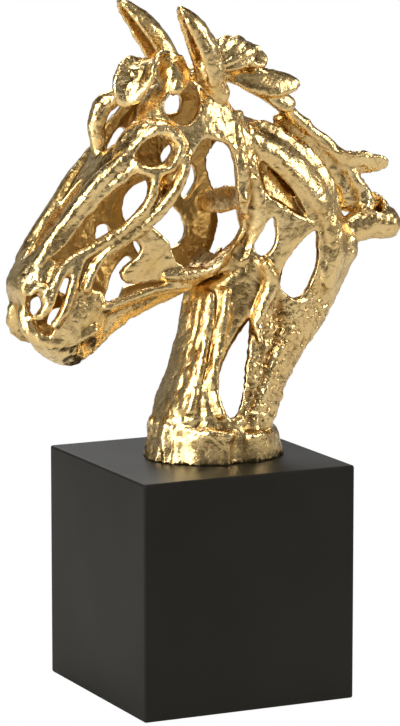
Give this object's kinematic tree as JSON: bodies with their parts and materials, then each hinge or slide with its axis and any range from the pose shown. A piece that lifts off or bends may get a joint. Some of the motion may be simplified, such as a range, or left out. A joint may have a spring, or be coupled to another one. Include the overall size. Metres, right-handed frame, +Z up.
{
  "type": "horse head bust on block",
  "caption": "Openwork horse-head bust with pricked ears and a leafy mane, cast in one piece with a gold-leaf finish, standing on a square matt black block.",
  "frame": {"origin": "centre of the block's underside", "axes": "+Z up; the horse faces -X; the block's sides are parallel to X and Y; the horse's left side faces -Y"},
  "size_m": [0.2708, 0.147, 0.444],
  "materials": {
    "gold_leaf": "champagne gold leaf, glossy on the ridges and rough in the hollows",
    "black_block": "matt warm black"
  },
  "bodies": {
    "root": {"horse_bust": "gold_leaf", "block": "black_block"}
  },
  "joints": []
}
